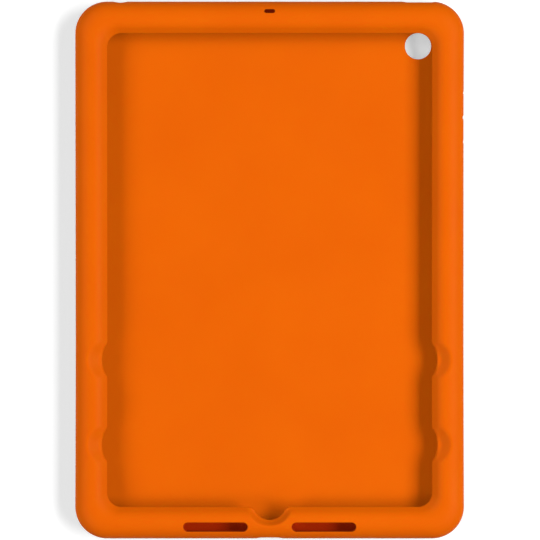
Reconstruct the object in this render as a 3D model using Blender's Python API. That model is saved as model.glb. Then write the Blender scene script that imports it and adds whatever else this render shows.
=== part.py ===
"""Moulded silicone bumper case: one soft shell with a pocket, a front window in a raised rounded
frame, finger scoops, sound slots and openings for ports and camera. It lies on its back."""

import math
from collections import namedtuple

import bmesh
import bpy
from mathutils import Matrix, Vector

# Pocket inside the case
POCKET_WIDTH = 0.1741
POCKET_HEIGHT = 0.2506
POCKET_DEPTH = 0.0075
POCKET_CORNER_RADIUS = 0.0105
POCKET_FLOOR_FILLET = 0.0025

# Walls round the pocket
SIDE_WALL = 0.00895
END_WALL = 0.0072
PANEL_THICKNESS = 0.0024
CASE_CORNER_RADIUS = 0.0158

# Lip that reaches over the pocket and leaves the window open
SIDE_LIP = 0.00685
END_LIP = 0.0086
LIP_THICKNESS = 0.0013
WINDOW_CORNER_RADIUS = 0.0072

# Rounded bumper, from the rim on the back to the crown on the front
CROWN_RISE = 0.0036
FRONT_ROUNDING = 0.0085
BACK_ROUNDING = 0.0060
ROUNDING_POWER = 2.0
SLOPE_RADIUS = 0.0070
SLOPE_TILT = math.radians(45)
RIM_WIDTH = 0.0040
RIM_HEIGHT = 0.0012

# Finger scoops, two on each long side of the window
SCOOP_NOTCH_RADIUS = 0.0144
SCOOP_NOTCH_DEPTH = 0.0026
SCOOP_NOTCH_FILLET = 0.0030
SCOOP_RADIUS = 0.0087
SCOOP_BOWL_POWER = 1.5
SCOOP_OFFSET = 0.0007
SCOOP_SPACING = 0.0417
SCOOP_MIDDLE_FROM_END = 0.0674

# Round notch in the lower edge of the window
NOTCH_RADIUS = 0.0082
NOTCH_DEPTH = 0.0064
NOTCH_FILLET = 0.0030
NOTCH_RAMP = 0.0035

# Slots through the face of the frame
SOUND_SLOT_LENGTH = 0.0318
SOUND_SLOT_WIDTH = 0.0047
SOUND_SLOT_SPACING = 0.0534
SOUND_SLOT_BREAK_IN = 0.0011
SOUND_SLOT_FLOOR_STEP = 0.0008
MIC_SLOT_LENGTH = 0.0053
MIC_SLOT_WIDTH = 0.0020
MIC_SLOT_INSET = 0.0051
MIC_PASSAGE_DIAMETER = 0.0022

# Openings in the end walls and the back panel
CHARGE_PORT_WIDTH = 0.0135
CHARGE_PORT_HEIGHT = 0.0065
AUDIO_PORT_DIAMETER = 0.0070
AUDIO_PORT_FROM_SIDE = 0.0135
CAMERA_DIAMETER = 0.0130
CAMERA_FLARE = 0.0012
CAMERA_FROM_SIDE = 0.0135
CAMERA_FROM_TOP = 0.0145
CAMERA_GUARD_WIDTH = 0.0022
CAMERA_GUARD_HEIGHT = 0.0008

# Button covers: a recess outside, a pad in it, and a hollow with nubs inside
MEMBRANE = 0.0015
HOLLOW_HEIGHT = 0.0050
HOLLOW_MARGIN = 0.0030
PAD_HEIGHT = 0.0036
NUB_LENGTH = 0.0045
NUB_HEIGHT = 0.0024
NUB_SETBACK = 0.0004
POWER_FROM_SIDE = 0.01335
POWER_RECESS_LENGTH = 0.0160
POWER_RECESS_HEIGHT = 0.0050
POWER_RECESS_DEPTH = 0.0018
POWER_PAD_LENGTH = 0.0110
POWER_PAD_RISE = 0.0009
VOLUME_FROM_TOP = 0.0500
VOLUME_RECESS_LENGTH = 0.0256
VOLUME_RECESS_HEIGHT = 0.0050
VOLUME_RECESS_DEPTH = 0.0012
VOLUME_PAD_LENGTH = 0.0116
VOLUME_PAD_RISE = 0.0011
VOLUME_PAD_SPACING = 0.0126

# Grip ribs on the back, behind the finger scoops
RIB_LENGTH = 0.0220
RIB_WIDTH = 0.0030
RIB_HEIGHT = 0.0008
RIB_PITCH = 0.0080
RIBS_PER_SIDE = 9
RIB_COLUMN_INSET = 0.0280

# Fineness of the mesh
CORNER_SEGMENTS = 8
ROUNDING_SEGMENTS = 6
SLOPE_SEGMENTS = 5
LIP_SEGMENTS = 4
NOTCH_SEGMENTS = 8
FILLET_SEGMENTS = 3
END_SEGMENTS = 6
HOLE_SEGMENTS = 28

OVERSHOOT = 0.004
SEAT = 0.0004
ORANGE = (0.88, 0.135, 0.002, 1.0)
ROUGHNESS = 0.52

# Sizes that follow from those above
CASE_WIDTH = POCKET_WIDTH + 2 * SIDE_WALL
CASE_HEIGHT = POCKET_HEIGHT + 2 * END_WALL
SIDE_FRAME = SIDE_WALL + SIDE_LIP
END_FRAME = END_WALL + END_LIP
WINDOW_WIDTH = CASE_WIDTH - 2 * SIDE_FRAME
WINDOW_HEIGHT = CASE_HEIGHT - 2 * END_FRAME
FLOOR_Z = RIM_HEIGHT + PANEL_THICKNESS
POCKET_MIDDLE_Z = FLOOR_Z + POCKET_DEPTH / 2
LIP_UNDER_Z = FLOOR_Z + POCKET_DEPTH
LIP_TOP_Z = LIP_UNDER_Z + LIP_THICKNESS
CROWN_Z = LIP_TOP_Z + CROWN_RISE
WIDEST_Z = CROWN_Z / 2
LIP_ROLL = LIP_THICKNESS / 2
STILL_INSET = END_FRAME - NOTCH_DEPTH - NOTCH_RAMP
SCOOP_MIDDLE_Y = SCOOP_MIDDLE_FROM_END - CASE_HEIGHT / 2
SCOOP_YS = (SCOOP_MIDDLE_Y - SCOOP_SPACING / 2, SCOOP_MIDDLE_Y + SCOOP_SPACING / 2)

Ring = namedtuple("Ring", "side_inset end_inset radius z follows")
Notch = namedtuple("Notch", "centre radius depth fillet")
Corner = namedtuple("Corner", "sx sy angle")
Along = namedtuple("Along", "side at")

SCOOP_NOTCHES = [Notch(y, SCOOP_NOTCH_RADIUS, SCOOP_NOTCH_DEPTH, SCOOP_NOTCH_FILLET) for y in SCOOP_YS]
BUTTON_NOTCH = Notch(0.0, NOTCH_RADIUS, NOTCH_DEPTH, NOTCH_FILLET)


def clear_scene():
    """Start from an empty scene."""
    for obj in list(bpy.data.objects):
        bpy.data.objects.remove(obj)


def ease(t):
    """Smooth step from 0 to 1."""
    t = min(1.0, max(0.0, t))
    return t * t * (3 - 2 * t)


def notch_fillet_x(notch):
    """How far from the notch's middle its mouth fillets start."""
    rise = notch.fillet + notch.radius - notch.depth
    return math.sqrt((notch.radius + notch.fillet) ** 2 - rise**2)


def notch_shift(notch, along):
    """How far a notch moves the window's edge outward at a place along it."""
    x = abs(along - notch.centre)
    start = notch_fillet_x(notch)
    meet = start * notch.radius / (notch.radius + notch.fillet)
    if x >= start:
        return 0.0
    if x > meet:
        return notch.fillet - math.sqrt(notch.fillet**2 - (start - x) ** 2)
    return math.sqrt(notch.radius**2 - x * x) - (notch.radius - notch.depth)


def notch_places(notch):
    """Places along the window's edge that draw a notch: its arc and its two mouth fillets."""
    start = notch_fillet_x(notch)
    turn = math.asin(start / (notch.radius + notch.fillet))
    arc = [notch.radius * math.sin(turn * (2 * i / NOTCH_SEGMENTS - 1)) for i in range(NOTCH_SEGMENTS + 1)]
    fillet = [start - notch.fillet * math.sin(turn * i / FILLET_SEGMENTS) for i in range(FILLET_SEGMENTS)]
    return sorted(notch.centre + x for x in arc + fillet + [-f for f in fillet])


def notches_on(side):
    """The notches on one side of the window."""
    return {"bottom": [BUTTON_NOTCH], "top": []}.get(side, SCOOP_NOTCHES)


def stations():
    """Every place round the case where the section is drawn, counter-clockwise from bottom left."""
    found = []
    sides = (("bottom", 1, -1, -90), ("right", 1, 1, 0), ("top", -1, 1, 90), ("left", -1, -1, 180))
    for side, sx, sy, first in sides:
        places = [x for notch in notches_on(side) for x in notch_places(notch)]
        if side in ("top", "left"):
            places.reverse()
        found += [Along(side, at) for at in places]
        turns = [first + 90 * i / CORNER_SEGMENTS for i in range(CORNER_SEGMENTS + 1)]
        found += [Corner(sx, sy, math.radians(turn)) for turn in turns]
    return found


def edge_shift(station):
    """How far the window's edge is moved outward at a station."""
    if isinstance(station, Corner):
        return 0.0
    return max((notch_shift(notch, station.at) for notch in notches_on(station.side)), default=0.0)


def rounding_height(inset):
    """Height of the frame's rounded outer side, a superellipse from the widest line to the crown."""
    across = max(0.0, 1 - inset / FRONT_ROUNDING)
    return WIDEST_Z + (CROWN_Z - WIDEST_Z) * (1 - across**ROUNDING_POWER) ** (1 / ROUNDING_POWER)


def lip_roll(turn):
    """A point on the lip's rounded edge, as a distance from the window's edge and a height."""
    return LIP_ROLL * (1 - math.sin(turn)), LIP_UNDER_Z + LIP_ROLL * (1 + math.cos(turn))


def slope_top():
    """Distances from the window's edge of the slope's top and of the end of its rounded part."""
    edge, z = lip_roll(SLOPE_TILT)
    ramp = (CROWN_Z - z - SLOPE_RADIUS * (1 - math.cos(SLOPE_TILT))) / math.tan(SLOPE_TILT)
    return edge + ramp + SLOPE_RADIUS * math.sin(SLOPE_TILT), edge + ramp


def slope_height(edge):
    """Height of the slope at a distance outward from the window's edge."""
    top, bend = slope_top()
    if edge >= top:
        return CROWN_Z
    if edge >= bend:
        return CROWN_Z - SLOPE_RADIUS + math.sqrt(SLOPE_RADIUS**2 - (top - edge) ** 2)
    start, z = lip_roll(SLOPE_TILT)
    return z + (edge - start) * math.tan(SLOPE_TILT)


def dimple_share(x, y):
    """Share of the frame's rise over the lip that the scoops and the notch's ramp leave standing."""
    share = 1.0
    for centre_y in SCOOP_YS:
        gap = math.hypot(abs(x) - WINDOW_WIDTH / 2 - SCOOP_OFFSET, y - centre_y)
        share *= min(1.0, gap / SCOOP_RADIUS) ** SCOOP_BOWL_POWER
    ramp_y = NOTCH_RADIUS - NOTCH_DEPTH - WINDOW_HEIGHT / 2
    return share * ease((math.hypot(x, y - ramp_y) - NOTCH_RADIUS) / NOTCH_RAMP)


def pressed_height(z, x, y):
    """Height of the front surface with the dimples pressed into it."""
    if z <= LIP_TOP_Z:
        return z
    return LIP_TOP_Z + (z - LIP_TOP_Z) * dimple_share(x, y)


def corner_radius(inset):
    """Corner radius of the line that runs round the frame at a distance in from the outline."""
    return CASE_CORNER_RADIUS + (WINDOW_CORNER_RADIUS - CASE_CORNER_RADIUS) * inset / SIDE_FRAME


def outer_ring(inset, z, follows="outline"):
    """A ring at a distance in from the outline."""
    return Ring(inset, inset, corner_radius(inset), z, follows)


def window_ring(edge, z, follows):
    """A ring at a distance outward from the window's edge."""
    return Ring(SIDE_FRAME - edge, END_FRAME - edge, corner_radius(SIDE_FRAME - edge), z, follows)


def pocket_ring(inset, z):
    """A ring at a distance in from the pocket's wall."""
    return Ring(SIDE_WALL + inset, END_WALL + inset, POCKET_CORNER_RADIUS - inset, z, "outline")


def back_rings():
    """The back: the sunk panel's edge, the flat rim, and the rounding up to the widest line."""
    rim = BACK_ROUNDING + RIM_WIDTH
    rings = [outer_ring(rim + RIM_HEIGHT, RIM_HEIGHT), outer_ring(rim, 0.0)]
    for i in range(ROUNDING_SEGMENTS, 0, -1):
        turn = math.radians(90 * i / ROUNDING_SEGMENTS)
        inset = BACK_ROUNDING * (1 - math.cos(turn) ** (2 / ROUNDING_POWER))
        rings.append(outer_ring(inset, WIDEST_Z * (1 - math.sin(turn) ** (2 / ROUNDING_POWER))))
    return rings


def front_rings():
    """The front: the outer rounding, the crown, and the slope down to the lip."""
    insets = []
    for i in range(ROUNDING_SEGMENTS + 1):
        turn = math.radians(90 * i / ROUNDING_SEGMENTS)
        insets.append(FRONT_ROUNDING * (1 - math.cos(turn) ** (2 / ROUNDING_POWER)))
    rings = [outer_ring(inset, rounding_height(inset), "surface") for inset in insets]
    top, _ = slope_top()
    turns = [SLOPE_TILT * i / SLOPE_SEGMENTS for i in range(1, SLOPE_SEGMENTS + 1)]
    edges = [top - SLOPE_RADIUS * math.sin(turn) for turn in turns] + [LIP_ROLL]
    return rings + [window_ring(edge, slope_height(edge), "surface") for edge in edges]


def lip_rings():
    """The lip's half-round edge and its underside."""
    turns = [SLOPE_TILT + (math.pi - SLOPE_TILT) * i / LIP_SEGMENTS for i in range(LIP_SEGMENTS + 1)]
    return [window_ring(*lip_roll(turn), "edge") for turn in turns]


def pocket_rings():
    """The pocket: its wall and the fillet down to its floor."""
    rings = [pocket_ring(0.0, LIP_UNDER_Z)]
    for i in range(FILLET_SEGMENTS + 1):
        turn = math.radians(90 * i / FILLET_SEGMENTS)
        inset = POCKET_FLOOR_FILLET * (1 - math.cos(turn))
        rings.append(pocket_ring(inset, FLOOR_Z + POCKET_FLOOR_FILLET * (1 - math.sin(turn))))
    return rings


def moved_inset(ring, inset, frame, shift):
    """Where a ring lies once a notch has moved the window's edge outward."""
    if ring.follows == "edge":
        return inset - shift
    span = frame - LIP_ROLL - STILL_INSET
    if ring.follows == "surface" and inset > STILL_INSET:
        return inset - shift * (inset - STILL_INSET) / span
    return inset


def place_along(ring, station):
    """The ring's point at a station on one of the four straight sides."""
    upright = station.side in ("left", "right")
    frame = SIDE_FRAME if upright else END_FRAME
    inset = ring.side_inset if upright else ring.end_inset
    moved = moved_inset(ring, inset, frame, edge_shift(station))
    z = ring.z
    if ring.follows == "surface" and moved != inset:
        z = min(rounding_height(moved), slope_height(frame - moved))
    reach = (CASE_WIDTH if upright else CASE_HEIGHT) / 2 - moved
    if station.side in ("left", "bottom"):
        reach = -reach
    return (reach, station.at, z) if upright else (station.at, reach, z)


def place_corner(ring, station):
    """The ring's point at a station on one of the four corners."""
    x = station.sx * (CASE_WIDTH / 2 - ring.side_inset - ring.radius)
    y = station.sy * (CASE_HEIGHT / 2 - ring.end_inset - ring.radius)
    return x + ring.radius * math.cos(station.angle), y + ring.radius * math.sin(station.angle), ring.z


def ring_points(ring, places):
    """All points of one ring, with the dimples pressed into the front surface."""
    points = [(place_corner if isinstance(p, Corner) else place_along)(ring, p) for p in places]
    if ring.follows != "surface":
        return points
    return [(x, y, pressed_height(z, x, y)) for x, y, z in points]


def mesh_object(name, bm):
    """A mesh object made from a bmesh, with its faces pointing out."""
    bmesh.ops.recalc_face_normals(bm, faces=bm.faces)
    mesh = bpy.data.meshes.new(name)
    bm.to_mesh(mesh)
    bm.free()
    obj = bpy.data.objects.new(name, mesh)
    bpy.context.scene.collection.objects.link(obj)
    return obj


def skin(name, loops):
    """A closed solid lofted through loops of equal length, capped at both ends."""
    bm = bmesh.new()
    rows = [[bm.verts.new(point) for point in loop] for loop in loops]
    for row, after in zip(rows, rows[1:]):
        for i, vert in enumerate(row):
            j = (i + 1) % len(row)
            bm.faces.new((vert, row[j], after[j], after[i]))
    bmesh.ops.triangulate(bm, faces=bm.faces)
    bm.faces.new(rows[0])
    bm.faces.new(rows[-1])
    return mesh_object(name, bm)


def make_shell():
    """The plain shell: the section carried round the case, closed by the panel inside and out."""
    places = stations()
    rings = back_rings() + front_rings() + lip_rings() + pocket_rings()
    return skin("silicone_case", [ring_points(ring, places) for ring in rings])


def stadium(length, width, segments=END_SEGMENTS):
    """Outline of a slot with round ends, its length along X."""
    radius = width / 2
    points = []
    for side in (1, -1):
        for i in range(segments + 1):
            turn = math.radians(180 * i / segments - 90)
            x = length / 2 - radius + radius * math.cos(turn)
            points.append((side * x, side * radius * math.sin(turn)))
    return points


def circle(diameter, segments=HOLE_SEGMENTS):
    """Outline of a round hole."""
    turns = [2 * math.pi * i / segments for i in range(segments)]
    return [(diameter / 2 * math.cos(turn), diameter / 2 * math.sin(turn)) for turn in turns]


def prism(name, outline, low, high, frame):
    """A tool extruded from an outline, between two distances along the frame's own Z."""
    tool = skin(name, [[(x, y, z) for x, y in outline] for z in (low, high)])
    tool.data.transform(frame)
    return tool


def facing(direction, origin):
    """Frame at a point whose Z runs in a direction and whose X stays level or along Y."""
    z = Vector(direction)
    x = Vector((0, 1, 0)) if abs(z.x) > abs(z.y) else Vector((1, 0, 0))
    y = z.cross(x)
    rotation = Matrix((x, y, z)).transposed()
    return Matrix.Translation(origin) @ rotation.to_4x4()


def combine(case, tool, operation):
    """Cut a tool out of the case or add it, and keep the tool as a hidden guide."""
    boolean = case.modifiers.new(tool.name, "BOOLEAN")
    boolean.operation = operation
    boolean.solver = "EXACT"
    boolean.object = tool
    tool.display_type = "WIRE"
    tool.hide_render = True


def cut_face_slots(case):
    """Two long sound slots and one small slot, sunk from the frame's face into the end walls."""
    inset = END_WALL - SOUND_SLOT_WIDTH / 2 + SOUND_SLOT_BREAK_IN
    floor = FLOOR_Z + SOUND_SLOT_FLOOR_STEP
    for name, side in (("left_sound_slot", -1), ("right_sound_slot", 1)):
        origin = (side * SOUND_SLOT_SPACING / 2, inset - CASE_HEIGHT / 2, 0)
        outline = stadium(SOUND_SLOT_LENGTH, SOUND_SLOT_WIDTH)
        slot = prism(name, outline, floor, CROWN_Z + OVERSHOOT, facing((0, 0, 1), origin))
        combine(case, slot, "DIFFERENCE")
    origin = (0, CASE_HEIGHT / 2 - MIC_SLOT_INSET, 0)
    outline = stadium(MIC_SLOT_LENGTH, MIC_SLOT_WIDTH)
    slot = prism("mic_slot", outline, POCKET_MIDDLE_Z, CROWN_Z + OVERSHOOT, facing((0, 0, 1), origin))
    combine(case, slot, "DIFFERENCE")
    start = (0, CASE_HEIGHT / 2 - MIC_SLOT_INSET, POCKET_MIDDLE_Z)
    reach = END_WALL - MIC_SLOT_INSET + OVERSHOOT
    passage = prism("mic_passage", circle(MIC_PASSAGE_DIAMETER, 12), 0, reach, facing((0, -1, 0), start))
    combine(case, passage, "DIFFERENCE")


def cut_ports(case):
    """The charging opening in the bottom wall and the round audio opening in the top wall."""
    reach = END_WALL + OVERSHOOT
    outline = stadium(CHARGE_PORT_WIDTH, CHARGE_PORT_HEIGHT)
    place = facing((0, -1, 0), (0, -POCKET_HEIGHT / 2, POCKET_MIDDLE_Z))
    combine(case, prism("charge_port", outline, -OVERSHOOT, reach, place), "DIFFERENCE")
    place = facing((0, 1, 0), (AUDIO_PORT_FROM_SIDE - POCKET_WIDTH / 2, POCKET_HEIGHT / 2, POCKET_MIDDLE_Z))
    combine(case, prism("audio_port", circle(AUDIO_PORT_DIAMETER), -OVERSHOOT, reach, place), "DIFFERENCE")


def add_camera_opening(case):
    """The camera opening in the back panel, flared outward inside a low guard ring."""
    place = Matrix.Translation((POCKET_WIDTH / 2 - CAMERA_FROM_SIDE, POCKET_HEIGHT / 2 - CAMERA_FROM_TOP, 0))
    face = RIM_HEIGHT - CAMERA_GUARD_HEIGHT
    wide = CAMERA_DIAMETER + 2 * CAMERA_FLARE
    outer = wide + 2 * CAMERA_GUARD_WIDTH
    guard = prism("camera_guard", circle(outer), face, RIM_HEIGHT + SEAT, place)
    combine(case, guard, "UNION")
    sections = [(wide, face - OVERSHOOT), (wide, face), (CAMERA_DIAMETER, face + CAMERA_FLARE)]
    sections.append((CAMERA_DIAMETER, FLOOR_Z + OVERSHOOT))
    hole = skin("camera_hole", [[(x, y, z) for x, y in circle(size)] for size, z in sections])
    hole.data.transform(place)
    combine(case, hole, "DIFFERENCE")


def add_button_cover(case, name, outward, seat, wall, recess, pads):
    """A button cover in a wall: recess and pads outside, thin membrane, hollow and nubs inside."""
    length, height, depth = recess
    pad_length, pad_rise, offsets = pads
    outside = facing(outward, seat)
    bed = -depth
    inside = -wall
    membrane = bed - MEMBRANE
    combine(case, prism(name + "_recess", stadium(length, height), bed, OVERSHOOT, outside), "DIFFERENCE")
    hollow = stadium(length - HOLLOW_MARGIN, HOLLOW_HEIGHT)
    combine(case, prism(name + "_hollow", hollow, inside - OVERSHOOT, membrane, outside), "DIFFERENCE")
    for i, offset in enumerate(offsets):
        shifted = outside @ Matrix.Translation((offset, 0, 0))
        pad = prism(f"{name}_pad_{i}", stadium(pad_length, PAD_HEIGHT), bed - SEAT, bed + pad_rise, shifted)
        combine(case, pad, "UNION")
        outline = stadium(NUB_LENGTH, NUB_HEIGHT)
        nub = prism(f"{name}_nub_{i}", outline, inside + NUB_SETBACK, membrane + SEAT, shifted)
        combine(case, nub, "UNION")


def add_button_covers(case):
    """The power button's cover on the top wall and the volume buttons' cover on the right wall."""
    seat = (POCKET_WIDTH / 2 - POWER_FROM_SIDE, CASE_HEIGHT / 2, WIDEST_Z)
    recess = (POWER_RECESS_LENGTH, POWER_RECESS_HEIGHT, POWER_RECESS_DEPTH)
    pads = (POWER_PAD_LENGTH, POWER_PAD_RISE, [0.0])
    add_button_cover(case, "power", (0, 1, 0), seat, END_WALL, recess, pads)
    seat = (CASE_WIDTH / 2, POCKET_HEIGHT / 2 - VOLUME_FROM_TOP, WIDEST_Z)
    recess = (VOLUME_RECESS_LENGTH, VOLUME_RECESS_HEIGHT, VOLUME_RECESS_DEPTH)
    pads = (VOLUME_PAD_LENGTH, VOLUME_PAD_RISE, [-VOLUME_PAD_SPACING / 2, VOLUME_PAD_SPACING / 2])
    add_button_cover(case, "volume", (1, 0, 0), seat, SIDE_WALL, recess, pads)


def add_grip_ribs(case):
    """Two columns of low grip ribs on the back panel, centred behind the finger scoops."""
    for name, side in (("left_rib", -1), ("right_rib", 1)):
        x = side * (CASE_WIDTH / 2 - RIB_COLUMN_INSET)
        for i in range(RIBS_PER_SIDE):
            y = SCOOP_MIDDLE_Y + RIB_PITCH * (i - (RIBS_PER_SIDE - 1) / 2)
            narrow = stadium(RIB_LENGTH - RIB_HEIGHT, RIB_WIDTH - RIB_HEIGHT)
            wide = stadium(RIB_LENGTH, RIB_WIDTH)
            face = RIM_HEIGHT - RIB_HEIGHT
            loops = [(narrow, face), (wide, face + RIB_HEIGHT / 2), (wide, RIM_HEIGHT + SEAT)]
            rib = skin(f"{name}_{i}", [[(px, py, z) for px, py in outline] for outline, z in loops])
            rib.data.transform(Matrix.Translation((x, y, 0)))
            combine(case, rib, "UNION")


def silicone():
    """Soft matt orange silicone."""
    material = bpy.data.materials.new("orange_silicone")
    material.use_nodes = True
    shader = material.node_tree.nodes["Principled BSDF"]
    shader.inputs["Base Color"].default_value = ORANGE
    shader.inputs["Roughness"].default_value = ROUGHNESS
    shader.inputs["Metallic"].default_value = 0.0
    return material


def main():
    """Build the case."""
    clear_scene()
    case = make_shell()
    case.data.materials.append(silicone())
    case.data.shade_smooth()
    case.data.set_sharp_from_angle(angle=math.radians(40))
    cut_face_slots(case)
    cut_ports(case)
    add_camera_opening(case)
    add_button_covers(case)
    add_grip_ribs(case)


main()
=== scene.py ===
"""Looks of the moulded silicone case: one fine mesh of the whole moulding, its soft orange
material, a pale floor, soft studio light and a camera straight above the front."""

import math
from collections import namedtuple

import bmesh
import bpy
from mathutils import Matrix, Vector


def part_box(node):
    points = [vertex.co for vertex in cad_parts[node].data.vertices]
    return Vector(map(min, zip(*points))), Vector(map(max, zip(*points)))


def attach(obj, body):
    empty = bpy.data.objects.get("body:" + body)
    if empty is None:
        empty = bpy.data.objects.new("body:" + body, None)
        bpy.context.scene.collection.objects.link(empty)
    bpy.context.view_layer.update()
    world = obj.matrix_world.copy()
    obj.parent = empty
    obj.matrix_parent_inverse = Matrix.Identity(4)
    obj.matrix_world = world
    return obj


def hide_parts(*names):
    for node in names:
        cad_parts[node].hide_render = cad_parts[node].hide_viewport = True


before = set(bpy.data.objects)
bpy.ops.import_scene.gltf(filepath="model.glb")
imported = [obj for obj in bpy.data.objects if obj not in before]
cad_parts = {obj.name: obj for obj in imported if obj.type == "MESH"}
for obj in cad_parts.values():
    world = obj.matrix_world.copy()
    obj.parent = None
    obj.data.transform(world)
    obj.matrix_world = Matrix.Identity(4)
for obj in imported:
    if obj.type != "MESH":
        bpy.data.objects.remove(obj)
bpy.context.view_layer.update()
LOW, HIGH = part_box("silicone_case")

# Overall size, from the frame
CASE_WIDTH = float(HIGH[0] - LOW[0])
CASE_HEIGHT = float(HIGH[1] - LOW[1])
CROWN_Z = float(HIGH[2])
WIDEST_Z = CROWN_Z / 2

# Pocket, panel and lip
SIDE_WALL = 0.00895
END_WALL = 0.0072
POCKET_CORNER_RADIUS = 0.0105
POCKET_FLOOR_FILLET = 0.0025
POCKET_DEPTH = 0.0075
FLOOR_Z = 0.0036
SIDE_LIP = 0.00685
END_LIP = 0.0086
LIP_THICKNESS = 0.0013
LIP_UNDER_FILLET = 0.0005

# Bumper
CASE_CORNER_RADIUS = 0.0158
WINDOW_CORNER_RADIUS = 0.0072
FRONT_ROUNDING = 0.0085
BACK_ROUNDING = 0.0060
ROUNDING_POWER = 2.0
SLOPE_RADIUS = 0.0070
SLOPE_TILT = math.radians(45)
RIM_WIDTH = 0.0040
RIM_HEIGHT = 0.0012
RIM_EDGE_RADIUS = 0.0005
PARTING_DEPTH = 0.00007
PARTING_HALF_WIDTH = 0.00022
PARTING_CLEARANCE = 2 * PARTING_HALF_WIDTH
WAIST = 0.00030

# Finger scoops and the round notch
SCOOP_NOTCH_RADIUS = 0.0144
SCOOP_NOTCH_DEPTH = 0.0026
SCOOP_RADIUS = 0.0090
SCOOP_LAND_RADIUS = 0.0036
SCOOP_OFFSET = 0.0007
SCOOP_RIM_SOFTNESS = 0.20
SCOOP_SPACING = 0.0417
SCOOP_MIDDLE_FROM_END = 0.0674
NOTCH_RADIUS = 0.0082
NOTCH_DEPTH = 0.0064
NOTCH_FILLET = 0.0030
NOTCH_RAMP = 0.0035
DIMPLE_MARGIN = 0.0015

# Openings
SOUND_SLOT_LENGTH = 0.0318
SOUND_SLOT_WIDTH = 0.0047
SOUND_SLOT_SPACING = 0.0534
SOUND_SLOT_BREAK_IN = 0.0011
SOUND_SLOT_FLOOR_STEP = 0.0008
MIC_SLOT_LENGTH = 0.0053
MIC_SLOT_WIDTH = 0.0020
MIC_SLOT_INSET = 0.0051
MIC_PASSAGE_DIAMETER = 0.0022
CHARGE_PORT_WIDTH = 0.0135
CHARGE_PORT_HEIGHT = 0.0065
AUDIO_PORT_DIAMETER = 0.0070
AUDIO_PORT_FROM_SIDE = 0.0135
CAMERA_DIAMETER = 0.0130
CAMERA_FLARE = 0.0012
CAMERA_FROM_SIDE = 0.0135
CAMERA_FROM_TOP = 0.0145
CAMERA_GUARD_WIDTH = 0.0022
CAMERA_GUARD_HEIGHT = 0.0008
CAMERA_GUARD_EDGE = CAMERA_GUARD_HEIGHT / 2
MOUTH_RADIUS = 0.00045
MIC_MOUTH_RADIUS = MOUTH_RADIUS / 2
MOUTH_TURN = math.radians(68)
PIT_FILLET = 0.0006

# Button covers
MEMBRANE = 0.0015
HOLLOW_HEIGHT = 0.0050
HOLLOW_MARGIN = 0.0030
PAD_HEIGHT = 0.0036
PAD_EDGE = 0.0006
NUB_LENGTH = 0.0045
NUB_HEIGHT = 0.0024
NUB_EDGE = PAD_EDGE / 2
NUB_SETBACK = 0.0004
RECESS_HEIGHT = 0.0050
POWER_FROM_SIDE = 0.01335
POWER_RECESS_LENGTH = 0.0160
POWER_RECESS_DEPTH = 0.0018
POWER_PAD_LENGTH = 0.0110
POWER_PAD_RISE = 0.0009
VOLUME_FROM_TOP = 0.0500
VOLUME_RECESS_LENGTH = 0.0256
VOLUME_RECESS_DEPTH = 0.0012
VOLUME_PAD_LENGTH = 0.0116
VOLUME_PAD_RISE = 0.0011
VOLUME_PAD_SPACING = 0.0126

# Grip ribs
RIB_LENGTH = 0.0220
RIB_WIDTH = 0.0030
RIB_HEIGHT = 0.0008
RIB_EDGE = RIB_HEIGHT * 0.9
RIB_PITCH = 0.0080
RIBS_PER_SIDE = 9
RIB_COLUMN_INSET = 0.0280

# Fineness of the mesh
CORNER_SEGMENTS = 26
ROUNDING_SEGMENTS = 18
SLOPE_SEGMENTS = 18
RAMP_SEGMENTS = 6
LIP_SEGMENTS = 10
ARC_SEGMENTS = 26
FILLET_SEGMENTS = 7
FLANK_STEP = 0.0005
END_SEGMENTS = 14
HOLE_SEGMENTS = 56
MOUTH_SEGMENTS = 4
PAD_EDGE_SEGMENTS = 5
RIM_EDGE_SEGMENTS = 4
PARTING_RINGS_PER_SIDE = 3
PARTING_RING_STEP = PARTING_HALF_WIDTH / 2
SMOOTH_ANGLE = math.radians(38)

# How far cutters reach past a wall, and raised parts into it
OVERSHOOT = 0.004
SEAT = 0.0004

# Silicone
ORANGE_DEEP = (0.87, 0.134, 0.0, 1)
ORANGE_BRIGHT = (0.90, 0.145, 0.0, 1)
# Painted shade down the slots: the deeper red that light bounced between their walls would give,
# full this far below the mouth
PAINTED_SLOT_SHADE_ORANGE = (0.88, 0.045, 0.0, 1)
SLOT_SHADE_DEPTH = 0.0020
CLOUD_SIZE = 0.045
CLOUD_DETAIL = 2
SHEEN_SIZE = 0.020
SHEEN_DETAIL = 3
SHEEN_ROUGHNESS = (0.50, 0.60)
SWELL_SIZE = 0.030
SWELL_DETAIL = 1
SWELL_DEPTH = 0.00010
GRAIN_SIZE = 0.0005
GRAIN_DETAIL = 2
GRAIN_DEPTH = 0.000012
NOISE_ROUGHNESS = 0.5
NOISE_LOW = 0.3
NOISE_HIGH = 0.7
SILICONE_SPECULAR = 0.05
GLOW = 0.15
GLOW_COLOURS = (1.0, 0.25, 0.05)
GLOW_DEPTH = 0.0012

# Studio
FLOOR_SIZE = 8.0
FLOOR_GAP = 0.0001
FLOOR_CLOUD_SIZE = 0.6
FLOOR_DEEP = (0.955, 0.955, 0.955, 1)
FLOOR_BRIGHT = (0.97, 0.97, 0.97, 1)
FLOOR_ROUGHNESS = 0.9
FLOOR_GLOW = 0.32
KEY_PLACE = (1.66, 0.0, 1.59)
KEY_WIDTH = 2.2
KEY_HEIGHT = 0.9
KEY_BRIGHTNESS = 0.93
FAR_FILL_PLACE = (-1.63, 0.94, 1.32)
NEAR_FILL_PLACE = (-1.63, -0.94, 1.32)
FILL_WIDTH = 1.2
FILL_HEIGHT = 0.8
FAR_FILL_BRIGHTNESS = 0.31
NEAR_FILL_BRIGHTNESS = 0.29
WORLD_COLOUR = (1.0, 1.0, 1.0, 1)
WORLD_BRIGHTNESS = 0.12

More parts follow.
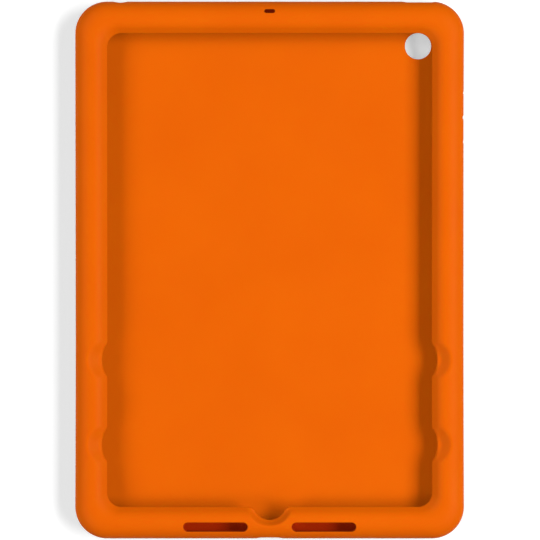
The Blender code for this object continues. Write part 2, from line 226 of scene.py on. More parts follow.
# Camera
PHOTO_PIXELS = 540
MM_PER_PIXEL = 0.4937
MM_PER_METRE = 1000
CASE_CENTRE_X_PIXEL = 269.6
CASE_CENTRE_Y_PIXEL = 270.0
CAMERA_HEIGHT = 1.9
CAMERA_REACH = 100
SENSOR_WIDTH = 36.0

# Worked out from the sizes above
POCKET_WIDTH = CASE_WIDTH - 2 * SIDE_WALL
POCKET_HEIGHT = CASE_HEIGHT - 2 * END_WALL
SIDE_FRAME = SIDE_WALL + SIDE_LIP
END_FRAME = END_WALL + END_LIP
WINDOW_WIDTH = CASE_WIDTH - 2 * SIDE_FRAME
WINDOW_HEIGHT = CASE_HEIGHT - 2 * END_FRAME
POCKET_MIDDLE_Z = FLOOR_Z + POCKET_DEPTH / 2
LIP_UNDER_Z = FLOOR_Z + POCKET_DEPTH
LIP_TOP_Z = LIP_UNDER_Z + LIP_THICKNESS
LIP_ROLL = LIP_THICKNESS / 2
STILL_INSET = END_FRAME - NOTCH_DEPTH - NOTCH_RAMP
SOUND_SLOT_INSET = END_WALL - SOUND_SLOT_WIDTH / 2 + SOUND_SLOT_BREAK_IN
SOUND_SLOT_Y = SOUND_SLOT_INSET - CASE_HEIGHT / 2
MIC_SLOT_Y = CASE_HEIGHT / 2 - MIC_SLOT_INSET
SCOOP_MIDDLE_Y = SCOOP_MIDDLE_FROM_END - CASE_HEIGHT / 2
SCOOP_YS = (SCOOP_MIDDLE_Y - SCOOP_SPACING / 2, SCOOP_MIDDLE_Y + SCOOP_SPACING / 2)

# A line round the case, and what it follows past a notch: outline, window's edge or surface
Ring = namedtuple("Ring", "side_inset end_inset radius z follows")
# A bay in the window's edge, and how far its dimple reaches
Notch = namedtuple("Notch", "centre radius depth fillet reach")
# Places round the case where the section is drawn
Corner = namedtuple("Corner", "sx sy angle")
Along = namedtuple("Along", "side at")
# A slot in the frame's face
Slot = namedtuple("Slot", "x y length width")
# A button cover: where it sits, the wall's thickness, its recess, its pads and their places
Cover = namedtuple("Cover", "place wall length depth pad_length pad_rise offsets")

SCOOPS = [
    Notch(y, SCOOP_NOTCH_RADIUS, SCOOP_NOTCH_DEPTH, NOTCH_FILLET, SCOOP_RADIUS) for y in SCOOP_YS
]
BUTTON_NOTCH = Notch(0.0, NOTCH_RADIUS, NOTCH_DEPTH, NOTCH_FILLET, NOTCH_RADIUS + NOTCH_RAMP)
SOUND_SLOTS = [
    Slot(side * SOUND_SLOT_SPACING / 2, SOUND_SLOT_Y, SOUND_SLOT_LENGTH, SOUND_SLOT_WIDTH)
    for side in (-1, 1)
]
MIC_SLOT = Slot(0.0, MIC_SLOT_Y, MIC_SLOT_LENGTH, MIC_SLOT_WIDTH)


def ease(t):
    """Smooth step from 0 to 1."""
    t = min(1.0, max(0.0, t))
    return t * t * (3 - 2 * t)


def soft_min(a, b, width):
    """The smaller of two values, with the corner between them rounded."""
    blend = max(0.0, width - abs(a - b)) / width
    return min(a, b) - blend * blend * width / 4


def soft_clamp(t, width):
    """A value held between 0 and 1, with the corners at both ends rounded."""
    return soft_min(1.0, -soft_min(0.0, -t, width), width)


def quarter_turns(count):
    """Angles from zero to a quarter turn, in equal steps."""
    return [math.radians(90 * i / count) for i in range(count + 1)]


def notch_fillet_x(notch):
    """How far from the notch's middle its mouth fillets start."""
    rise = notch.fillet + notch.radius - notch.depth
    return math.sqrt((notch.radius + notch.fillet) ** 2 - rise**2)


def notch_shift(notch, along):
    """How far a notch moves the window's edge outward at a place along it."""
    x = abs(along - notch.centre)
    start = notch_fillet_x(notch)
    meet = start * notch.radius / (notch.radius + notch.fillet)
    if x >= start:
        return 0.0
    if x > meet:
        return notch.fillet - math.sqrt(notch.fillet**2 - (start - x) ** 2)
    return math.sqrt(notch.radius**2 - x * x) - (notch.radius - notch.depth)


def notch_places(notch):
    """Places along the window's edge that draw a notch, its mouth fillets and its dimple."""
    start = notch_fillet_x(notch)
    sweep = math.asin(start / (notch.radius + notch.fillet))
    arc_turns = [sweep * (2 * i / ARC_SEGMENTS - 1) for i in range(ARC_SEGMENTS + 1)]
    fillet_turns = [sweep * i / FILLET_SEGMENTS for i in range(FILLET_SEGMENTS)]
    arc = [notch.radius * math.sin(turn) for turn in arc_turns]
    half = [start - notch.fillet * math.sin(turn) for turn in fillet_turns]
    flank = max(0.0, notch.reach + DIMPLE_MARGIN - start)
    steps = max(1, math.ceil(flank / FLANK_STEP))
    half += [start + flank * i / steps for i in range(1, steps + 1)]
    return sorted(notch.centre + x for x in arc + half + [-x for x in half])


def notches_on(side):
    """The notches on one side of the window."""
    return {"bottom": [BUTTON_NOTCH], "top": []}.get(side, SCOOPS)


def stations():
    """Every place round the case where the section is drawn, anticlockwise from bottom left."""
    found = []
    # Each side, with the signs of the corner after it and the angle that the corner starts at
    sides = (("bottom", 1, -1, -90), ("right", 1, 1, 0), ("top", -1, 1, 90), ("left", -1, -1, 180))
    for side, sx, sy, first in sides:
        places = [x for notch in notches_on(side) for x in notch_places(notch)]
        if side in ("top", "left"):
            places.reverse()
        found += [Along(side, at) for at in places]
        turns = [first + 90 * i / CORNER_SEGMENTS for i in range(CORNER_SEGMENTS + 1)]
        found += [Corner(sx, sy, math.radians(turn)) for turn in turns]
    return found


def edge_shift(station):
    """How far the window's edge is moved outward at a station."""
    if isinstance(station, Corner):
        return 0.0
    return max((notch_shift(notch, station.at) for notch in notches_on(station.side)), default=0.0)


def rounding_height(inset):
    """Height of the frame's outer side, a superellipse from the widest line to the crown."""
    across = min(1.0, max(0.0, 1 - inset / FRONT_ROUNDING))
    return WIDEST_Z + (CROWN_Z - WIDEST_Z) * (1 - across**ROUNDING_POWER) ** (1 / ROUNDING_POWER)


def rounding_inset(z):
    """How far in from the outline the case's outer side is at a height."""
    depth = FRONT_ROUNDING if z > WIDEST_Z else BACK_ROUNDING
    rise = min(1.0, abs(z - WIDEST_Z) / WIDEST_Z)
    return depth * (1 - (1 - rise**ROUNDING_POWER) ** (1 / ROUNDING_POWER))


def lip_roll(turn):
    """A point on the lip's rounded edge, as a distance from the window's edge and a height."""
    return LIP_ROLL * (1 - math.sin(turn)), LIP_UNDER_Z + LIP_ROLL * (1 + math.cos(turn))


def slope_top():
    """Distances from the window's edge of the slope's top and of the end of its rounded part."""
    edge, z = lip_roll(SLOPE_TILT)
    ramp = (CROWN_Z - z - SLOPE_RADIUS * (1 - math.cos(SLOPE_TILT))) / math.tan(SLOPE_TILT)
    return edge + ramp + SLOPE_RADIUS * math.sin(SLOPE_TILT), edge + ramp


def slope_height(edge):
    """Height of the slope at a distance outward from the window's edge."""
    top, bend = slope_top()
    if edge >= top:
        return CROWN_Z
    if edge >= bend:
        return CROWN_Z - SLOPE_RADIUS + math.sqrt(SLOPE_RADIUS**2 - (top - edge) ** 2)
    start, z = lip_roll(SLOPE_TILT)
    return z + (edge - start) * math.tan(SLOPE_TILT)


def dimple_share(x, y):
    """Share of the frame's rise over the lip that the scoops and the notch's ramp leave."""
    share = 1.0
    for centre_y in SCOOP_YS:
        gap = math.hypot(abs(x) - WINDOW_WIDTH / 2 - SCOOP_OFFSET, y - centre_y)
        rise = (gap - SCOOP_LAND_RADIUS) / (SCOOP_RADIUS - SCOOP_LAND_RADIUS)
        share *= soft_clamp(rise, SCOOP_RIM_SOFTNESS)
    ramp_y = NOTCH_RADIUS - NOTCH_DEPTH - WINDOW_HEIGHT / 2
    return share * ease((math.hypot(x, y - ramp_y) - NOTCH_RADIUS) / NOTCH_RAMP)


def pressed_height(z, x, y):
    """Height of the front surface with the dimples pressed into it."""
    if z <= LIP_TOP_Z:
        return z
    return LIP_TOP_Z + (z - LIP_TOP_Z) * dimple_share(x, y)


def front_height(x, y):
    """Height of the frame's face at a place on one of the two end frames."""
    inset = CASE_HEIGHT / 2 - abs(y)
    return pressed_height(min(rounding_height(inset), slope_height(END_FRAME - inset)), x, y)


def corner_radius(inset):
    """Corner radius of the line that runs round the frame at a distance in from the outline."""
    return CASE_CORNER_RADIUS + (WINDOW_CORNER_RADIUS - CASE_CORNER_RADIUS) * inset / SIDE_FRAME


def outer_ring(inset, z, follows="outline"):
    """A ring at a distance in from the outline."""
    return Ring(inset, inset, corner_radius(inset), z, follows)


def window_ring(edge, z, follows):
    """A ring at a distance outward from the window's edge."""
    return Ring(SIDE_FRAME - edge, END_FRAME - edge, corner_radius(SIDE_FRAME - edge), z, follows)


def pocket_ring(inset, z):
    """A ring at a distance in from the pocket's wall."""
    return Ring(SIDE_WALL + inset, END_WALL + inset, POCKET_CORNER_RADIUS - inset, z, "outline")


def rounded_step(start, end, radius):
    """Points of a straight slope between two flats, with both its corners rounded."""
    flat = Vector((-1, 0))
    slope = Vector((end[0] - start[0], end[1] - start[1])).normalized()
    points = []
    for corner, before, after in ((start, flat, slope), (end, slope, flat)):
        for i in range(RIM_EDGE_SEGMENTS + 1):
            t = i / RIM_EDGE_SEGMENTS
            a = Vector(corner) - before * radius * (1 - t)
            b = Vector(corner) + after * radius * t
            points.append(a.lerp(b, t))
    return points


def parting_groove(z):
    """Depth of the fine mould line that runs round the widest part of the bumper."""
    return PARTING_DEPTH * max(0.0, 1 - abs(z - WIDEST_Z) / PARTING_HALF_WIDTH)


def back_rings():
    """The back: the sunk panel's edge, the flat rim, and the rounding up to the mould line."""
    rim = BACK_ROUNDING + RIM_WIDTH
    edge = rounded_step((rim + RIM_HEIGHT, RIM_HEIGHT), (rim, 0.0), RIM_EDGE_RADIUS)
    rings = [outer_ring(rim + 2 * RIM_HEIGHT, RIM_HEIGHT)]
    rings += [outer_ring(point.x, max(0.0, point.y)) for point in edge]
    for turn in reversed(quarter_turns(ROUNDING_SEGMENTS)[1:]):
        inset = BACK_ROUNDING * (1 - math.cos(turn) ** (2 / ROUNDING_POWER))
        rings.append(outer_ring(inset, WIDEST_Z * (1 - math.sin(turn) ** (2 / ROUNDING_POWER))))
    return [ring for ring in rings if ring.z < WIDEST_Z - PARTING_CLEARANCE]


def parting_rings():
    """The mould line: a fine groove at the widest line."""
    steps = range(-PARTING_RINGS_PER_SIDE, PARTING_RINGS_PER_SIDE + 1)
    heights = [WIDEST_Z + PARTING_RING_STEP * step for step in steps]
    return [outer_ring(rounding_inset(z) + parting_groove(z), z) for z in heights]


def front_rings():
    """The front: the outer rounding, the crown, and the slope down to the lip."""
    turns = quarter_turns(ROUNDING_SEGMENTS)
    insets = [FRONT_ROUNDING * (1 - math.cos(turn) ** (2 / ROUNDING_POWER)) for turn in turns]
    rings = [outer_ring(inset, rounding_height(inset), "surface") for inset in insets]
    rings = [ring for ring in rings if ring.z > WIDEST_Z + PARTING_CLEARANCE]
    top, bend = slope_top()
    turns = [SLOPE_TILT * i / SLOPE_SEGMENTS for i in range(1, SLOPE_SEGMENTS + 1)]
    edges = [top - SLOPE_RADIUS * math.sin(turn) for turn in turns]
    edges += [bend + (LIP_ROLL - bend) * i / RAMP_SEGMENTS for i in range(1, RAMP_SEGMENTS + 1)]
    return rings + [window_ring(edge, slope_height(edge), "surface") for edge in edges]


def lip_rings():
    """The lip's half-round edge and its underside."""
    sweep = math.pi - SLOPE_TILT
    turns = [SLOPE_TILT + sweep * i / LIP_SEGMENTS for i in range(LIP_SEGMENTS + 1)]
    return [window_ring(*lip_roll(turn), "edge") for turn in turns]


def pocket_rings():
    """The pocket: the fillet under the lip, the wall and the fillet down to the floor."""
    rings = []
    for turn in quarter_turns(FILLET_SEGMENTS):
        inset = LIP_UNDER_FILLET * (1 - math.sin(turn))
        rings.append(pocket_ring(inset, LIP_UNDER_Z - LIP_UNDER_FILLET * (1 - math.cos(turn))))
    for turn in quarter_turns(FILLET_SEGMENTS):
        inset = POCKET_FLOOR_FILLET * (1 - math.cos(turn))
        rings.append(pocket_ring(inset, FLOOR_Z + POCKET_FLOOR_FILLET * (1 - math.sin(turn))))
    return rings + [pocket_ring(POCKET_FLOOR_FILLET + LIP_UNDER_FILLET, FLOOR_Z)]


def moved_inset(ring, inset, width, shift):
    """Where a ring lies once a notch has moved the window's edge outward."""
    if ring.follows == "edge":
        return inset - shift
    if ring.follows == "surface" and inset > STILL_INSET:
        return inset - shift * (inset - STILL_INSET) / (width - LIP_ROLL - STILL_INSET)
    return inset


def place_along(ring, station):
    """The ring's point at a station on one of the four straight sides."""
    upright = station.side in ("left", "right")
    width = SIDE_FRAME if upright else END_FRAME
    inset = ring.side_inset if upright else ring.end_inset
    moved = moved_inset(ring, inset, width, edge_shift(station))
    z = ring.z
    if ring.follows == "surface" and moved != inset:
        z = min(rounding_height(moved), slope_height(width - moved))
    reach = (CASE_WIDTH if upright else CASE_HEIGHT) / 2 - moved
    if station.side in ("left", "bottom"):
        reach = -reach
    return (reach, station.at, z) if upright else (station.at, reach, z)


def place_corner(ring, station):
    """The ring's point at a station on one of the four corners."""
    x = station.sx * (CASE_WIDTH / 2 - ring.side_inset - ring.radius)
    y = station.sy * (CASE_HEIGHT / 2 - ring.end_inset - ring.radius)
    x += ring.radius * math.cos(station.angle)
    y += ring.radius * math.sin(station.angle)
    return x, y, ring.z


def place_at(ring, station):
    """The ring's point at a station of either kind."""
    if isinstance(station, Corner):
        return place_corner(ring, station)
    return place_along(ring, station)


def ring_points(ring, places):
    """All points of one ring, with the dimples pressed into the front surface."""
    points = [place_at(ring, station) for station in places]
    if ring.follows != "surface":
        return points
    return [(x, y, pressed_height(z, x, y)) for x, y, z in points]


def loft(bm, loops, place=Matrix()):
    """Add a closed solid lofted through loops of equal length, capped at both ends."""
    rows = [[bm.verts.new(place @ Vector(point)) for point in loop] for loop in loops]
    for row, after in zip(rows, rows[1:]):
        for i, vert in enumerate(row):
            j = (i + 1) % len(row)
            bm.faces.new((vert, row[j], after[j], after[i]))
    bm.faces.new(rows[0])
    bm.faces.new(rows[-1])


def mesh_object(name, bm):
    """A mesh object made from a bmesh, with its faces pointing out."""
    bmesh.ops.recalc_face_normals(bm, faces=bm.faces)
    mesh = bpy.data.meshes.new(name)
    bm.to_mesh(mesh)
    bm.free()
    obj = bpy.data.objects.new(name, mesh)
    bpy.context.scene.collection.objects.link(obj)
    return obj


def make_shell():
    """The plain shell: the section carried round the case, closed by the panel inside and out."""
    places = stations()
    rings = back_rings() + parting_rings() + front_rings() + lip_rings() + pocket_rings()
    bm = bmesh.new()
    loft(bm, [ring_points(ring, places) for ring in rings])
    return mesh_object("moulded_case", bm)


def stadium(length, width):
    """Outline of a slot with round ends, its length along X."""
    radius = width / 2
    points = []
    for side in (1, -1):
        for i in range(END_SEGMENTS + 1):
            turn = math.radians(180 * i / END_SEGMENTS - 90)
            x = length / 2 - radius + radius * math.cos(turn)
            points.append((side * x, side * radius * math.sin(turn)))
    return points


def circle(diameter):
    """Outline of a round hole."""
    turns = [2 * math.pi * i / HOLE_SEGMENTS for i in range(HOLE_SEGMENTS)]
    return [(diameter / 2 * math.cos(turn), diameter / 2 * math.sin(turn)) for turn in turns]


def slot_outline(length, width):
    """A slot's outline as a function of how far it is grown."""
    return lambda grown: stadium(length + 2 * grown, width + 2 * grown)


def round_outline(diameter):
    """A round hole's outline as a function of how far it is grown."""
    return lambda grown: circle(diameter + 2 * grown)


def mouth_end(radius):
    """How far a rounded mouth has grown, and how deep it lies, half a radius past its turn."""
    grown = radius * (1 - math.cos(MOUTH_TURN) + math.sin(MOUTH_TURN) / 2)
    sunk = radius * (1 - math.sin(MOUTH_TURN) - math.cos(MOUTH_TURN) / 2)
    return grown, sunk


def mouth_loops(outline, surface, radius):
    """Loops of a rounded mouth that follows a surface, from the wall out to above the surface."""
    steps = []
    for i in range(MOUTH_SEGMENTS + 1):
        turn = MOUTH_TURN * i / MOUTH_SEGMENTS
        steps.append((radius * (1 - math.cos(turn)), radius * (1 - math.sin(turn))))
    steps.append(mouth_end(radius))
    return [[(x, y, surface(x, y) - sunk) for x, y in outline(grown)] for grown, sunk in steps]


def flat_floor(outline, floor, fillet):
    """Loops of a cut's flat floor and the fillet round it."""
    loops = []
    for turn in quarter_turns(FILLET_SEGMENTS - 1):
        z = floor + fillet * (1 - math.cos(turn))
        loops.append([(x, y, z) for x, y in outline(fillet * (math.sin(turn) - 1))])
    return loops


def top_loop(outline, radius, height):
    """The loop that closes a cutter above the surface."""
    grown, _ = mouth_end(radius)
    return [(x, y, height) for x, y in outline(grown)]


def cut_pit(bm, outline, surface, floor, place, radius=MOUTH_RADIUS, fillet=PIT_FILLET):
    """A pit with a flat filleted floor and a rounded mouth, open towards the place's own Z."""
    loops = flat_floor(outline, floor, fillet) + mouth_loops(outline, surface, radius)
    highest = max(z for *_, z in loops[-1])
    loft(bm, loops + [top_loop(outline, radius, OVERSHOOT + highest)], place)


def facing(direction, origin):
    """Frame at a point whose Z runs in a direction and whose X stays level or along Y."""
    z = Vector(direction)
    x = Vector((0, 1, 0)) if abs(z.x) > abs(z.y) else Vector((1, 0, 0))
    rotation = Matrix((x, z.cross(x), z)).transposed()
    return Matrix.Translation(origin) @ rotation.to_4x4()


def face_surface(slot):
    """Height of the frame's face round a slot's middle, as a function."""
    return lambda x, y: front_height(slot.x + x, slot.y + y)


def wall_surface(place):
    """Height of the bumper's outer side over a place on its widest line, as a function."""
    return lambda x, y: -rounding_inset((place @ Vector((x, y, 0))).z)


def cut_slot(bm, slot, floor, radius, fillet):
    """One slot, sunk from the frame's face down to a height."""
    place = Matrix.Translation((slot.x, slot.y, 0))
    outline = slot_outline(slot.length, slot.width)
    cut_pit(bm, outline, face_surface(slot), floor, place, radius, fillet)


def face_cuts(bm):
    """Two long sound slots and one small slot, sunk from the frame's face into the end walls."""
    for slot in SOUND_SLOTS:
        cut_slot(bm, slot, FLOOR_Z + SOUND_SLOT_FLOOR_STEP, MOUTH_RADIUS, PIT_FILLET)
    cut_slot(bm, MIC_SLOT, POCKET_MIDDLE_Z, MIC_MOUTH_RADIUS, MIC_MOUTH_RADIUS)


def port_cuts(bm):
    """The charging opening in the bottom wall and the round audio opening in the top wall."""
    inside = -END_WALL - OVERSHOOT
    place = facing((0, -1, 0), (0, -CASE_HEIGHT / 2, POCKET_MIDDLE_Z))
    outline = slot_outline(CHARGE_PORT_WIDTH, CHARGE_PORT_HEIGHT)
    cut_pit(bm, outline, wall_surface(place), inside, place)
    audio_x = AUDIO_PORT_FROM_SIDE - POCKET_WIDTH / 2
    place = facing((0, 1, 0), (audio_x, CASE_HEIGHT / 2, POCKET_MIDDLE_Z))
    cut_pit(bm, round_outline(AUDIO_PORT_DIAMETER), wall_surface(place), inside, place)


def camera_place():
    """Middle of the camera opening."""
    x = POCKET_WIDTH / 2 - CAMERA_FROM_SIDE
    y = POCKET_HEIGHT / 2 - CAMERA_FROM_TOP
    return Matrix.Translation((x, y, 0))


def camera_cut(bm):
    """The camera opening in the back panel, flared behind and rounded at the pocket's floor."""
    face = RIM_HEIGHT - CAMERA_GUARD_HEIGHT
    outline = round_outline(CAMERA_DIAMETER)
    loops = [[(x, y, face - OVERSHOOT) for x, y in outline(CAMERA_FLARE)]]
    for turn in quarter_turns(FILLET_SEGMENTS):
        z = face + CAMERA_FLARE * (1 - math.cos(turn))
        loops.append([(x, y, z) for x, y in outline(CAMERA_FLARE * (1 - math.sin(turn)))])
    loops += mouth_loops(outline, lambda x, y: FLOOR_Z, MOUTH_RADIUS)
    loops.append(top_loop(outline, MOUTH_RADIUS, FLOOR_Z + OVERSHOOT))
    loft(bm, loops, camera_place())


def raised_loops(outline, seat, face, edge):
    """Loops of a raised pad, from its seat to its face, with the face's edge rounded."""
    sign = 1 if face > seat else -1
    loops = [[(x, y, seat) for x, y in outline(0)]]
    for turn in quarter_turns(PAD_EDGE_SEGMENTS):
        z = face - sign * edge * (1 - math.sin(turn))
        loops.append([(x, y, z) for x, y in outline(edge * (math.cos(turn) - 1))])
    return loops


def camera_guard(bm):
    """The low ring round the camera opening on the back."""
    outline = round_outline(CAMERA_DIAMETER + 2 * (CAMERA_FLARE + CAMERA_GUARD_WIDTH))
    face = RIM_HEIGHT - CAMERA_GUARD_HEIGHT
    loft(bm, raised_loops(outline, RIM_HEIGHT + SEAT, face, CAMERA_GUARD_EDGE), camera_place())


def power_cover():
    """The cover of the power button, in the top wall."""
    seat = (POCKET_WIDTH / 2 - POWER_FROM_SIDE, CASE_HEIGHT / 2, WIDEST_Z)
    return Cover(
        place=facing((0, 1, 0), seat),
        wall=END_WALL,
        length=POWER_RECESS_LENGTH,
        depth=POWER_RECESS_DEPTH,
        pad_length=POWER_PAD_LENGTH,
        pad_rise=POWER_PAD_RISE,
        offsets=(0.0,),
    )


def volume_cover():
    """The cover of the two volume buttons, in the right wall."""
    seat = (CASE_WIDTH / 2, POCKET_HEIGHT / 2 - VOLUME_FROM_TOP, WIDEST_Z)
    return Cover(
        place=facing((1, 0, 0), seat),
        wall=SIDE_WALL,
        length=VOLUME_RECESS_LENGTH,
        depth=VOLUME_RECESS_DEPTH,
        pad_length=VOLUME_PAD_LENGTH,
        pad_rise=VOLUME_PAD_RISE,
        offsets=(-VOLUME_PAD_SPACING / 2, VOLUME_PAD_SPACING / 2),
    )


def button_cuts(bm):
    """The recess outside and the hollow inside of each button cover."""
    for cover in (power_cover(), volume_cover()):
        outline = slot_outline(cover.length, RECESS_HEIGHT)
        cut_pit(bm, outline, wall_surface(cover.place), -cover.depth, cover.place)
        hollow = stadium(cover.length - HOLLOW_MARGIN, HOLLOW_HEIGHT)
        heights = (-cover.wall - OVERSHOOT, -cover.depth - MEMBRANE)
        loft(bm, [[(x, y, z) for x, y in hollow] for z in heights], cover.place)


def button_pads(bm):
    """The pads outside and the nubs inside of each button cover."""
    for cover in (power_cover(), volume_cover()):
        pad = slot_outline(cover.pad_length, PAD_HEIGHT)
        nub = slot_outline(NUB_LENGTH, NUB_HEIGHT)
        pad_seat, pad_face = -cover.depth - SEAT, -cover.depth + cover.pad_rise
        nub_seat, nub_face = -cover.depth - MEMBRANE + SEAT, -cover.wall + NUB_SETBACK
        for offset in cover.offsets:
            place = cover.place @ Matrix.Translation((offset, 0, 0))
            loft(bm, raised_loops(pad, pad_seat, pad_face, PAD_EDGE), place)
            loft(bm, raised_loops(nub, nub_seat, nub_face, NUB_EDGE), place)


def grip_ribs(bm):
    """Two columns of low rounded ribs on the back panel, centred behind the finger scoops."""
    outline = slot_outline(RIB_LENGTH, RIB_WIDTH)
    loops = raised_loops(outline, RIM_HEIGHT + SEAT, RIM_HEIGHT - RIB_HEIGHT, RIB_EDGE)
    for side in (-1, 1):
        x = side * (CASE_WIDTH / 2 - RIB_COLUMN_INSET)
        for i in range(RIBS_PER_SIDE):
            y = SCOOP_MIDDLE_Y + RIB_PITCH * (i - (RIBS_PER_SIDE - 1) / 2)
            loft(bm, loops, Matrix.Translation((x, y, 0)))


def mic_passage(bm):
    """The round passage from the small slot into the pocket."""
    start = (0, MIC_SLOT_Y, POCKET_MIDDLE_Z)
    reach = END_WALL - MIC_SLOT_INSET + OVERSHOOT
    outline = circle(MIC_PASSAGE_DIAMETER)
    loft(bm, [[(x, y, z) for x, y in outline] for z in (0, reach)], facing((0, -1, 0), start))


def combine(case, name, operation, makers):
    """Cut one group of tools out of the case, or add them to it."""
    bm = bmesh.new()
    for maker in makers:
        maker(bm)
    tool = mesh_object(name, bm)
    boolean = case.modifiers.new(name, "BOOLEAN")
    boolean.operation = operation
    boolean.solver = "EXACT"
    boolean.object = tool
    return tool


def draw_in_waist(mesh):
    """The long sides bow in by a hair between the corners, as a soft moulding does."""
    for vert in mesh.vertices:
        x, y, _ = vert.co
        vert.co.x = x - WAIST * (2 * x / CASE_WIDTH) * max(0.0, 1 - (2 * y / CASE_HEIGHT) ** 2)


def is_over(slot, point):
    """Whether a point lies within a slot's outline, or just beside it, as seen from the front."""
    off_x, off_y = abs(point.x - slot.x), abs(point.y - slot.y)
    return off_x <= slot.length / 2 + SEAT and off_y <= slot.width / 2 + SEAT


def slot_shade(point):
    """How much painted shade a point of the mesh gets, by how far it is down one of the slots in
    the face, from 0 to 1.
    """
    inside = any(is_over(slot, point) for slot in (*SOUND_SLOTS, MIC_SLOT))
    if not inside or point.z <= FLOOR_Z:
        return 0.0
    depth = front_height(point.x, point.y) - MOUTH_RADIUS - point.z
    return min(1.0, max(0.0, depth / SLOT_SHADE_DEPTH))


def paint_slot_shade(mesh):
    """Keep how deep each point lies in a slot, as the share of painted shade standing in for the
    redder light bouncing between the slot's walls.
    """
    shades = mesh.attributes.new("slot_shade", "FLOAT", "POINT")
    for vert, shade in zip(mesh.vertices, shades.data):
        shade.value = slot_shade(vert.co)


def make_case():
    """The whole moulding, with its openings cut, its raised parts added and its faces smoothed."""
    case = make_shell()
    tools = [combine(case, "openings", "DIFFERENCE", [face_cuts, port_cuts, button_cuts])]
    tools.append(combine(case, "passage", "DIFFERENCE", [mic_passage]))
    tools.append(combine(case, "raised", "UNION", [button_pads, grip_ribs, camera_guard]))
    tools.append(combine(case, "camera", "DIFFERENCE", [camera_cut]))
    depsgraph = bpy.context.evaluated_depsgraph_get()
    mesh = bpy.data.meshes.new_from_object(case.evaluated_get(depsgraph))
    case.modifiers.clear()
    case.data = mesh
    for tool in tools:
        bpy.data.objects.remove(tool)
    paint_slot_shade(mesh)
    draw_in_waist(mesh)
    mesh.shade_smooth()
    mesh.set_sharp_from_angle(angle=SMOOTH_ANGLE)
    weighted = case.modifiers.new("weighted_normals", "WEIGHTED_NORMAL")
    weighted.keep_sharp = True
    return case


def new_node(tree, kind, **settings):
    """A shader node with its settings and its unlinked inputs filled in by name."""
    node = tree.nodes.new(kind)
    for name, value in settings.items():
        if name in node.inputs:
            node.inputs[name].default_value = value
        else:
            setattr(node, name, value)
    return node


def cloud(tree, place, size, detail):
    """Soft noise whose blobs are about a given size in metres."""
    node = new_node(
        tree, "ShaderNodeTexNoise", Scale=1 / size, Detail=detail, Roughness=NOISE_ROUGHNESS
    )
    tree.links.new(place, node.inputs["Vector"])
    return node.outputs["Fac"]


def spread(tree, source, low, high):
    """The middle of a noise's range stretched between two values."""
    node = new_node(tree, "ShaderNodeMapRange")
    node.inputs["From Min"].default_value = NOISE_LOW
    node.inputs["From Max"].default_value = NOISE_HIGH
    node.inputs["To Min"].default_value = low
    node.inputs["To Max"].default_value = high
    tree.links.new(source, node.inputs["Value"])
    return node.outputs["Result"]


def tint(tree, share, first, second):
    """A colour between two, by a share. The first may be another node's output."""
    node = new_node(tree, "ShaderNodeMix", data_type="RGBA")
    colours = [socket for socket in node.inputs if socket.type == "RGBA"]
    colours[1].default_value = second
    if isinstance(first, bpy.types.NodeSocket):
        tree.links.new(first, colours[0])
    else:
        colours[0].default_value = first
    tree.links.new(share, node.inputs["Factor"])
    return [socket for socket in node.outputs if socket.type == "RGBA"][0]


def relief(tree, height, depth, under=None):
    """A bump from a height, on top of another."""
    node = new_node(tree, "ShaderNodeBump", Strength=1.0, Distance=depth)
    tree.links.new(height, node.inputs["Height"])
    if under:
        tree.links.new(under, node.inputs["Normal"])
    return node.outputs["Normal"]


def silicone():
    """Soft matt silicone: an even orange with a deeper red shade painted down the slots, finely
    grained, uneven in sheen.
    """
    material = bpy.data.materials.new("silicone")
    material.use_nodes = True
    tree = material.node_tree
    place = new_node(tree, "ShaderNodeTexCoord").outputs["Object"]
    clouds = spread(tree, cloud(tree, place, CLOUD_SIZE, CLOUD_DETAIL), 0, 1)
    sheen = spread(tree, cloud(tree, place, SHEEN_SIZE, SHEEN_DETAIL), *SHEEN_ROUGHNESS)
    swell = relief(tree, cloud(tree, place, SWELL_SIZE, SWELL_DETAIL), SWELL_DEPTH)
    grain = relief(tree, cloud(tree, place, GRAIN_SIZE, GRAIN_DETAIL), GRAIN_DEPTH, swell)
    shader = tree.nodes["Principled BSDF"]
    orange = tint(tree, clouds, ORANGE_DEEP, ORANGE_BRIGHT)
    # Painted shade: the orange turns deeper red down the slots, by the slot_shade share
    shade = new_node(tree, "ShaderNodeAttribute", attribute_name="slot_shade").outputs["Fac"]
    tree.links.new(tint(tree, shade, orange, PAINTED_SLOT_SHADE_ORANGE), shader.inputs["Base Color"])
    tree.links.new(sheen, shader.inputs["Roughness"])
    tree.links.new(grain, shader.inputs["Normal"])
    shader.inputs["Specular IOR Level"].default_value = SILICONE_SPECULAR
    shader.inputs["Subsurface Weight"].default_value = GLOW
    shader.inputs["Subsurface Radius"].default_value = GLOW_COLOURS
    shader.inputs["Subsurface Scale"].default_value = GLOW_DEPTH
    return material


def floor_paint():
    """Plain pale studio floor, with the faintest unevenness and a soft glow."""
    material = bpy.data.materials.new("studio_floor")
    material.use_nodes = True
    tree = material.node_tree
    place = new_node(tree, "ShaderNodeTexCoord").outputs["Object"]
    clouds = spread(tree, cloud(tree, place, FLOOR_CLOUD_SIZE, CLOUD_DETAIL), 0, 1)
    shader = tree.nodes["Principled BSDF"]
    tree.links.new(tint(tree, clouds, FLOOR_DEEP, FLOOR_BRIGHT), shader.inputs["Base Color"])
    shader.inputs["Roughness"].default_value = FLOOR_ROUGHNESS
    shader.inputs["Specular IOR Level"].default_value = 0.0
    shader.inputs["Emission Color"].default_value = FLOOR_BRIGHT
    shader.inputs["Emission Strength"].default_value = FLOOR_GLOW
    return material


def add_floor():
    """The floor that the case lies on. It throws no light back on the case."""
    bm = bmesh.new()
    bmesh.ops.create_grid(bm, x_segments=1, y_segments=1, size=FLOOR_SIZE / 2)
    floor = mesh_object("floor", bm)
    floor.location.z = -FLOOR_GAP
    floor.data.materials.append(floor_paint())
    floor.visible_diffuse = False


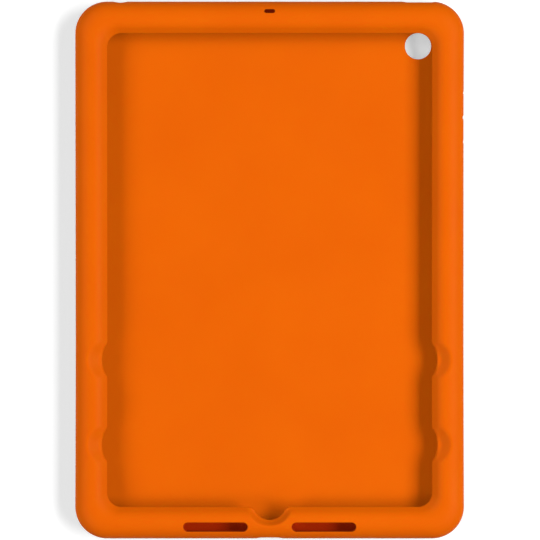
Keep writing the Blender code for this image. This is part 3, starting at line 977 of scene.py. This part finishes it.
def add_camera():
    """A long lens straight above the case, framed as the photo is."""
    camera = bpy.data.objects.new("camera", bpy.data.cameras.new("camera"))
    bpy.context.scene.collection.objects.link(camera)
    field = PHOTO_PIXELS * MM_PER_PIXEL / MM_PER_METRE
    camera.data.sensor_width = SENSOR_WIDTH
    camera.data.lens = SENSOR_WIDTH * CAMERA_HEIGHT / field
    x = (PHOTO_PIXELS / 2 - CASE_CENTRE_X_PIXEL) * MM_PER_PIXEL / MM_PER_METRE
    y = (CASE_CENTRE_Y_PIXEL - PHOTO_PIXELS / 2) * MM_PER_PIXEL / MM_PER_METRE
    camera.location = (x, y, WIDEST_Z + CAMERA_HEIGHT)
    camera.data.clip_end = CAMERA_REACH
    bpy.context.scene.camera = camera


def add_softbox(name, place, width, height, brightness):
    """A softbox aimed at the case. White paper that faces it there is as bright as asked for."""
    light = bpy.data.objects.new(name, bpy.data.lights.new(name, "AREA"))
    bpy.context.scene.collection.objects.link(light)
    light.data.shape = "RECTANGLE"
    light.data.size = width
    light.data.size_y = height
    light.location = place
    light.rotation_euler = Vector(place).to_track_quat("Z", "Y").to_euler()
    light.data.energy = brightness * (math.pi * Vector(place).length) ** 2


def add_world():
    """Even pale light from all round the studio."""
    world = bpy.data.worlds.new("studio")
    world.use_nodes = True
    background = world.node_tree.nodes["Background"]
    background.inputs["Color"].default_value = WORLD_COLOUR
    background.inputs["Strength"].default_value = WORLD_BRIGHTNESS
    bpy.context.scene.world = world


def set_up_studio():
    """Camera, floor, lights and world, with colours shown as they are."""
    add_camera()
    add_floor()
    add_softbox("key", KEY_PLACE, KEY_WIDTH, KEY_HEIGHT, KEY_BRIGHTNESS)
    add_softbox("far_fill", FAR_FILL_PLACE, FILL_WIDTH, FILL_HEIGHT, FAR_FILL_BRIGHTNESS)
    add_softbox("near_fill", NEAR_FILL_PLACE, FILL_WIDTH, FILL_HEIGHT, NEAR_FILL_BRIGHTNESS)
    add_world()
    bpy.context.scene.view_settings.view_transform = "Standard"


set_up_studio()
case = make_case()
case.data.materials.clear()
case.data.materials.append(silicone())
# Light that bounces between the case's own walls isn't counted, so its slopes keep their shade
case.visible_diffuse = False
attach(case, "root")
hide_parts("silicone_case")
